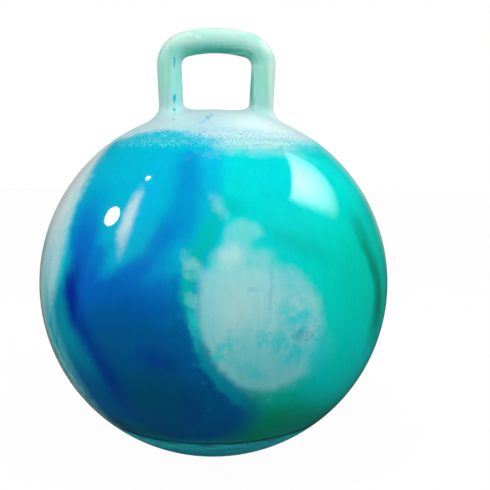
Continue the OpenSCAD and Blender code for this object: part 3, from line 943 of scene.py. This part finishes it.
def paintHandle(tree, place, colour, ragged):
    for centre, turn, halfSizes, soft, rough, tint, strength in handleBlobs:
        tilt = (0, math.radians(turn), 0)
        colour = addBlob(tree, place, ragged, colour, centre, tilt, halfSizes, soft, rough, tint, strength)
    # Painted highlight and shade: pale and dark lines that follow the tube round its bends, where ridges would catch
    # the
    # light: the noise hardly changes along the tube, and across it goes by the distance from the middle of the bend
    _, bendX, bendZ = handleBends()
    folded = addNode(tree, "ShaderNodeVectorMath", {0: place}, operation="ABSOLUTE")[0]
    folded = addNode(tree, "ShaderNodeVectorMath", {0: folded, 1: (bendX, 0, bendZ)}, operation="SUBTRACT")[0]
    folded = addNode(tree, "ShaderNodeVectorMath", {0: folded, 1: (0, 0, 0)}, operation="MAXIMUM")[0]
    folded = addNode(tree, "ShaderNodeVectorMath", {0: folded, 1: (1, 0, 1)}, operation="MULTIPLY")[0]
    across = addNode(tree, "ShaderNodeVectorMath", {0: folded}, operation="LENGTH")["Value"]
    stretch = (handleRidgeLight["alongStretch"],) * 3
    slow = addNode(tree, "ShaderNodeVectorMath", {0: place, 1: stretch}, operation="MULTIPLY")[0]
    slow = addNode(tree, "ShaderNodeSeparateXYZ", {0: slow})
    along = addNode(tree, "ShaderNodeCombineXYZ", {"X": across, "Y": slow["X"], "Z": slow["Z"]})[0]
    scale = 1 / handleRidgeLight["size"]
    lines = addNode(tree, "ShaderNodeTexNoise", {"Vector": along, "Scale": scale, "Detail": 2.0})["Fac"]
    height = addNode(tree, "ShaderNodeSeparateXYZ", {0: place})["Z"]
    low, high = handleRidgeLight["fadeIn"]
    onHandle = addNode(tree, "ShaderNodeMapRange", {
        "Value": height, "From Min": low, "From Max": high,
    }, interpolation_type="SMOOTHSTEP")[0]
    colour = layColour(tree, colour, vinylColours["mintPale"], lines, *handleRidgeLight["pale"], onHandle)
    return layColour(tree, colour, vinylColours["mintDeep"], lines, *handleRidgeLight["dark"], onHandle)


def startMaterial(name, mesh):
    material = bpy.data.materials.new(name)
    material.use_nodes = True
    material.node_tree.nodes.clear()
    mesh.materials.clear()
    mesh.materials.append(material)
    return material.node_tree


def finishSurface(tree, place, finish, colour, roughness, **more):
    # The shader of a plastic, with the fine relief of its surface, whose size and depth are in millimetres
    relief = addNode(tree, "ShaderNodeTexNoise", {
        "Vector": place, "Scale": 1 / finish["reliefSize"], "Detail": finish["reliefDetail"],
        "Roughness": finish["reliefRoughness"],
    })["Fac"]
    normal = addNode(tree, "ShaderNodeBump", {
        "Height": relief, "Strength": finish["reliefStrength"], "Distance": finish["reliefDepth"] / 1000,
    })[0]
    shader = addNode(tree, "ShaderNodeBsdfPrincipled", {
        "Base Color": colour, "Roughness": roughness, "IOR": finish["ior"], "Normal": normal, **more,
    })[0]
    addNode(tree, "ShaderNodeOutputMaterial", {"Surface": shader})


marbledColour = makeMarbledColour()

satinCrown = {
    "ior": 1.53,
    "specular": 0.3,
    "roughness": 0.4,
    "reliefSize": 1.6,        # the real grit is about 0.3 mm, too fine to show
    "reliefDepth": 0.4,
    "reliefStrength": 0.25,
    "reliefDetail": 3.0,
    "reliefRoughness": 0.6,
}


def makeSatinCap():
    # Soft PVC cast against a grit-blasted mould: satin, with a fine grain that takes the sharpness off the light
    tree = startMaterial("satinCastVinyl", handleCap.data)
    place = placeInMillimetres(tree)
    ragged = frayNoise(tree, place)
    colour = addNode(tree, "ShaderNodeGroup", node_tree=marbledColour)[0]
    colour = paintRing(tree, place, colour, ragged)
    colour = paintHandle(tree, place, colour, ragged)
    more = {"Specular IOR Level": satinCrown["specular"]}
    finishSurface(tree, place, satinCrown, colour, satinCrown["roughness"], **more)


glossSkin = {
    "ior": 1.53,
    "roughness": 0.05,
    "satinRoughness": 0.38,
    "satinFade": (-7.0, -2.0),    # it turns satin from here to here, in millimetres over the upper seam
    "satinFray": 12.0,
    "reliefSize": 26.0,           # the skin isn't perfectly even, so reflections waver
    "reliefDepth": 0.5,
    "reliefStrength": 0.12,
    "reliefDetail": 3.0,
    "reliefRoughness": 0.5,
}


def makeGlossSkin():
    # Soft PVC cast in a polished mould: a wet-looking gloss over colours that ran into each other
    tree = startMaterial("glossyCastVinyl", mainSkin.data)
    place = placeInMillimetres(tree)
    ragged = frayNoise(tree, place)
    colour = addNode(tree, "ShaderNodeGroup", node_tree=marbledColour)[0]
    colour = paintRing(tree, place, colour, ragged)
    colour = paintSeamShade(tree, place, colour)
    height = addNode(tree, "ShaderNodeSeparateXYZ", {0: place})["Z"]
    edge = addNode(tree, "ShaderNodeMath", {
        0: ragged, 1: glossSkin["satinFray"], 2: height,
    }, operation="MULTIPLY_ADD")[0]
    low, high = glossSkin["satinFade"]
    roughness = addNode(tree, "ShaderNodeMapRange", {
        "Value": edge, "From Min": ball["capHeight"] + low, "From Max": ball["capHeight"] + high,
        "To Min": glossSkin["roughness"], "To Max": glossSkin["satinRoughness"],
    }, interpolation_type="SMOOTHSTEP")[0]
    finishSurface(tree, place, glossSkin, colour, roughness)


satinBase = satinCrown | {
    "roughness": 0.42,
    "smearSize": 16.0,
    "smearStretch": 3.2,
    "blueSmear": (0.5, 0.66, 0.75),    # where in the noise it starts and is full, and how strong it is
    "paleSmear": (0.42, 0.3, 0.6),
    "white": (0.6, 0.9, 0.3),          # the same for the specks and their chances
    "blue": (0.4, 0.1, 0.4),
}


def makeSatinBase():
    # The same vinyl against a blasted mould again, where the ball scuffs the floor, with blue and pale smears, drawn
    # out sideways where the colours settled in the bottom of the mould
    tree = startMaterial("satinBaseVinyl", baseCap.data)
    place = placeInMillimetres(tree)
    colour = addNode(tree, "ShaderNodeGroup", node_tree=marbledColour)[0]
    drawn = addNode(tree, "ShaderNodeMapping", {"Vector": place, "Scale": (1, 1, satinBase["smearStretch"])})[0]
    smears = addNode(tree, "ShaderNodeTexNoise", {
        "Vector": drawn, "Scale": 1 / satinBase["smearSize"], "Detail": 5.0, "Roughness": 0.68,
    })["Fac"]
    colour = layColour(tree, colour, vinylColours["seaBlue"], smears, *satinBase["blueSmear"])
    colour = layColour(tree, colour, vinylColours["aqua"], smears, *satinBase["paleSmear"])
    speck, chance = scatterSpecks(tree, place, baseSpecks, "3D")
    colour = layColour(tree, colour, vinylColours["speckWhite"], chance, *satinBase["white"], speck)
    colour = layColour(tree, colour, vinylColours["speckBlue"], chance, *satinBase["blue"], speck)
    colour = paintSeamShade(tree, place, colour)
    more = {"Specular IOR Level": satinBase["specular"]}
    finishSurface(tree, place, satinBase, colour, satinBase["roughness"], **more)


softVinyl = {
    "ior": 1.53,
    "colours": ("#DCE3E1", "#C9D3D1"),
    "roughness": (0.34, 0.46),
    "cloudSize": 6.0,
    "cloudDetail": 3.0,
    "reliefSize": 0.9,
    "reliefDepth": 0.2,
    "reliefStrength": 0.2,
    "reliefDetail": 2.0,
    "reliefRoughness": 0.5,
}
polyethylene = {
    "ior": 1.51,
    "seeThrough": 0.1,
    "seeThroughDepth": 2.0,
    "colours": ("#F0F0EC", "#E2E4DF"),
    "roughness": (0.3, 0.42),
    "cloudSize": 4.0,
    "cloudDetail": 2.0,
    "reliefSize": 1.2,
    "reliefDepth": 0.2,
    "reliefStrength": 0.15,
    "reliefDetail": 2.0,
    "reliefRoughness": 0.5,
}


def makeMouldedPlastic(name, piece, finish, **more):
    # Two close shades and two close degrees of gloss, clouded as the melt flowed into the mould
    tree = startMaterial(name, piece.data)
    place = placeInMillimetres(tree)
    clouds = addNode(tree, "ShaderNodeTexNoise", {
        "Vector": place, "Scale": 1 / finish["cloudSize"], "Detail": finish["cloudDetail"],
    })["Fac"]
    colour = layColour(tree, finish["colours"][0], finish["colours"][1], clouds, 0.35, 0.7)
    roughness = addNode(tree, "ShaderNodeMapRange", {
        "Value": clouds, "From Min": 0.3, "From Max": 0.7,
        "To Min": finish["roughness"][0], "To Max": finish["roughness"][1],
    }, interpolation_type="SMOOTHSTEP")[0]
    finishSurface(tree, place, finish, colour, roughness, **more)


makeSatinCap()
makeGlossSkin()
makeSatinBase()
# Injection-moulded soft PVC, off-white and satin
makeMouldedPlastic("mouldedSoftVinyl", valveSeat, softVinyl)
# Injection-moulded polyethylene: white, waxy, slightly see-through at its edges
makeMouldedPlastic("mouldedPolyethylene", valvePlug, polyethylene, **{
    "Subsurface Weight": polyethylene["seeThrough"], "Subsurface Scale": polyethylene["seeThroughDepth"] / 1000,
})
print("materials made")


# The camera, where the photograph was taken from: place in metres, aim in degrees, lens and sensor in millimetres
view = {
    "place": (0, -0.8835, 0.39347),
    "pitch": 7.98,
    "turn": 2.53,
    "roll": 0.65,
    "lens": 49.36,
    "sensorWidth": 36,
}

studio = {
    "roomLevel": 0.67,            # plain light from all round
    "glossRoomLevel": 0.02,       # what the gloss sees of the dim room
    "glossBackdropLevel": 0.4,    # and of the backdrop
    "backdropTurn": 2.57,         # the white backdrop stands behind the ball, seen from the camera
    "backdropDip": 0.05,
    "backdropInner": 15.0,
    "backdropOuter": 36.0,
    "floorReach": 6.0,
    "floorDrop": 0.0005,
    "floorColour": "#8E8E8E",
    "floorWhite": "#F2F2F2",
    "floorSeenFrom": 0.45,        # metres of height that the gloss sees it from, so the white fades near the ball
    "floorGlow": 0.965,           # how much of the floor's white needs no light, which keeps the ball's shadow faint
}


def whiteShown(tree, direction):
    # Camera and transmission rays see white all round. Glossy rays see it where the backdrop stands behind the ball,
    # and the dim room elsewhere. The second output tells the glossy rays from the others.
    turn = math.radians(studio["backdropTurn"])
    ahead = (math.sin(turn), math.cos(turn), -studio["backdropDip"])
    facing = addNode(tree, "ShaderNodeVectorMath", {0: direction, 1: ahead}, operation="DOT_PRODUCT")["Value"]
    backdrop = addNode(tree, "ShaderNodeMapRange", {
        "Value": facing,
        "From Min": math.cos(math.radians(studio["backdropOuter"])),
        "From Max": math.cos(math.radians(studio["backdropInner"])),
        "To Max": studio["glossBackdropLevel"],
    }, interpolation_type="SMOOTHSTEP")[0]
    rays = addNode(tree, "ShaderNodeLightPath")
    isGloss = rays["Is Glossy Ray"]
    gloss = addNode(tree, "ShaderNodeMath", {0: isGloss, 1: backdrop}, operation="MULTIPLY")[0]
    seen = addNode(tree, "ShaderNodeMath", {
        0: rays["Is Camera Ray"], 1: rays["Is Transmission Ray"],
    }, operation="ADD")[0]
    return addNode(tree, "ShaderNodeMath", {0: seen, 1: gloss}, operation="ADD", use_clamp=True)[0], isGloss


def makeRoom():
    world = bpy.data.worlds.new("studioRoom")
    scene.world = world
    world.use_nodes = True
    tree = world.node_tree
    tree.nodes.clear()
    white, isGloss = whiteShown(tree, addNode(tree, "ShaderNodeTexCoord")["Generated"])
    level = addNode(tree, "ShaderNodeMapRange", {
        "Value": isGloss, "To Min": studio["roomLevel"], "To Max": studio["glossRoomLevel"],
    })[0]
    room = addNode(tree, "ShaderNodeBackground", {"Color": "#FFFFFF", "Strength": level})[0]
    bright = addNode(tree, "ShaderNodeBackground", {"Color": "#FFFFFF", "Strength": 1.0})[0]
    mixed = addNode(tree, "ShaderNodeMixShader", {0: white, 1: room, 2: bright})[0]
    addNode(tree, "ShaderNodeOutputWorld", {"Surface": mixed})


def addStagePiece(name, points, faces):
    mesh = bpy.data.meshes.new(name)
    mesh.from_pydata(points, [], faces)
    thing = bpy.data.objects.new(name, mesh)
    scene.collection.objects.link(thing)
    return thing


def makeFloor():
    # Pale studio paper: white to the camera with the ball's shadow on it, darker to the light that bounces off it
    far = studio["floorReach"]
    floor = addStagePiece("floor", [(-far, -far, 0), (far, -far, 0), (far, far, 0), (-far, far, 0)], [(0, 1, 2, 3)])
    floor.location.z = -studio["floorDrop"]
    tree = startMaterial("paleStudioPaper", floor.data)
    place = addNode(tree, "ShaderNodeNewGeometry")["Position"]
    seenFrom = (0, 0, studio["floorSeenFrom"])
    aim = addNode(tree, "ShaderNodeVectorMath", {0: place, 1: seenFrom}, operation="SUBTRACT")[0]
    aim = addNode(tree, "ShaderNodeVectorMath", {0: aim}, operation="NORMALIZE")[0]
    white, isGloss = whiteShown(tree, aim)
    paleBounce = addNode(tree, "ShaderNodeBsdfDiffuse", {"Color": studio["floorColour"]})[0]
    dimBounce = addNode(tree, "ShaderNodeEmission", {"Color": "#FFFFFF", "Strength": studio["glossRoomLevel"]})[0]
    bounce = addNode(tree, "ShaderNodeMixShader", {0: isGloss, 1: paleBounce, 2: dimBounce})[0]
    paper = addNode(tree, "ShaderNodeBsdfDiffuse", {"Color": studio["floorWhite"]})[0]
    glow = addNode(tree, "ShaderNodeEmission", {"Color": "#FFFFFF", "Strength": 1.0})[0]
    shown = addNode(tree, "ShaderNodeMixShader", {0: studio["floorGlow"], 1: paper, 2: glow})[0]
    mixed = addNode(tree, "ShaderNodeMixShader", {0: white, 1: bounce, 2: shown})[0]
    addNode(tree, "ShaderNodeOutputMaterial", {"Surface": mixed})


# Places in metres from the ball's centre, sizes in metres. The soft lamps light the ball, with their power in watts,
# and its gloss doesn't show them. Only the gloss shows the round lamps and the tall window.
softLamps = {
    "topSoftbox": {"place": (0.1, -0.3, 1.9), "size": (1.8, 1.6), "power": 8.5},
    "keySoftbox": {"place": (1.35, -0.9, 1.15), "size": (1.1, 0.9), "power": 14},
    "fillSoftbox": {"place": (-1.5, -1.0, 0.9), "size": (1.2, 1.0), "power": 12},
}
glossLamps = {
    "roundLamp": {"place": (-1.313, -0.264, 0.875), "size": 0.258, "radiance": 30},
    "smallLamp": {"place": (-0.859, -0.144, 1.342), "size": 0.07, "radiance": 25},
}
windowPanel = {
    "place": (1.13, 0.12, 1.06),
    # Outline in millimetres, towards the front and up, and how far each edge fades inwards
    "outline": [
        (-496, 493, 0.10), (-285, 427, 0.16), (-37, 355, 0.20), (259, 300, 0.22), (600, 245, 0.25),
        (540, 62, 0.36), (373, -195, 0.42), (219, -387, 0.42), (68, -538, 0.34), (-296, -552, 0.17),
        (-574, -500, 0.06), (-708, -444, 0.03), (-715, -286, 0.03), (-694, -134, 0.03), (-728, -22, 0.03),
        (-572, 74, 0.03), (-526, 245, 0.03), (-521, 374, 0.03),
    ],
    "fadeCentre": (-50, 50),
    "brightSpot": (0.15, 0.22, 0),
    "fadeReach": (0.75, 0.7, 1),
    "radiance": 11,
}
ballCentre = Vector((0, 0, ball["centreHeight"] / 1000))


def addLamp(name, place, shape, power):
    data = bpy.data.lights.new(name, "AREA")
    data.shape = shape
    data.energy = power
    light = bpy.data.objects.new(name, data)
    light.location = ballCentre + Vector(place)
    light.rotation_euler = (-Vector(place)).to_track_quat("-Z", "Y").to_euler()
    light.visible_camera = False
    scene.collection.objects.link(light)
    return light


def makeLamps():
    for name, lamp in softLamps.items():
        light = addLamp(name, lamp["place"], "RECTANGLE", lamp["power"])
        light.data.size, light.data.size_y = lamp["size"]
        light.visible_glossy = False
    for name, lamp in glossLamps.items():
        light = addLamp(name, lamp["place"], "DISK", lamp["radiance"] * (math.pi * lamp["size"] / 2) ** 2)
        light.data.size = lamp["size"]
        light.visible_diffuse = light.visible_transmission = False


def makeWindowPanel():
    w = windowPanel
    towardsBall = -Vector(w["place"]).normalized()
    sideways = Vector((0, 0, 1)).cross(towardsBall).normalized()
    upwards = towardsBall.cross(sideways)
    outer = [Vector(row[:2]) for row in w["outline"]]
    inner = [point.lerp(Vector(w["fadeCentre"]), row[2]) for point, row in zip(outer, w["outline"])]
    count = len(outer)
    points = [(point.x / 1000, point.y / 1000, 0) for point in outer + inner]
    faces = [(i, (i + 1) % count, (i + 1) % count + count, i + count) for i in range(count)]
    panel = addStagePiece("windowPanel", points, faces + [tuple(range(count, 2 * count))])
    level = panel.data.attributes.new("edgeLevel", "FLOAT", "POINT")
    level.data.foreach_set("value", [0.0] * count + [1.0] * count)
    panel.location = ballCentre + Vector(w["place"])
    panel.rotation_euler = Matrix((sideways, upwards, towardsBall)).transposed().to_euler()
    panel.visible_camera = panel.visible_diffuse = panel.visible_shadow = panel.visible_transmission = False
    # Brightest at one spot, and dark at the outline
    tree = startMaterial("windowLight", panel.data)
    place = addNode(tree, "ShaderNodeTexCoord")["Object"]
    seat = addNode(tree, "ShaderNodeMapping", {
        "Vector": place, "Location": w["brightSpot"], "Scale": w["fadeReach"],
    }, vector_type="TEXTURE")[0]
    distance = addNode(tree, "ShaderNodeVectorMath", {0: seat}, operation="LENGTH")["Value"]
    fade = addNode(tree, "ShaderNodeMapRange", {"Value": distance, "To Min": w["radiance"], "To Max": 0})[0]
    edge = addNode(tree, "ShaderNodeAttribute", attribute_name="edgeLevel")["Fac"]
    strength = addNode(tree, "ShaderNodeMath", {0: fade, 1: edge}, operation="MULTIPLY")[0]
    light = addNode(tree, "ShaderNodeEmission", {"Color": "#FFFFFF", "Strength": strength})[0]
    addNode(tree, "ShaderNodeOutputMaterial", {"Surface": light})


def makeCamera():
    data = bpy.data.cameras.new("camera")
    data.lens = view["lens"]
    data.sensor_width = view["sensorWidth"]
    camera = bpy.data.objects.new("camera", data)
    camera.location = view["place"]
    aim = Euler((math.radians(90 - view["pitch"]), 0, math.radians(-view["turn"]))).to_matrix()
    camera.rotation_euler = (aim @ Matrix.Rotation(math.radians(view["roll"]), 3, "Z")).to_euler()
    scene.collection.objects.link(camera)
    scene.camera = camera


makeRoom()
makeFloor()
makeLamps()
makeWindowPanel()
makeCamera()
scene.view_settings.view_transform = "Standard"
print("studio made")
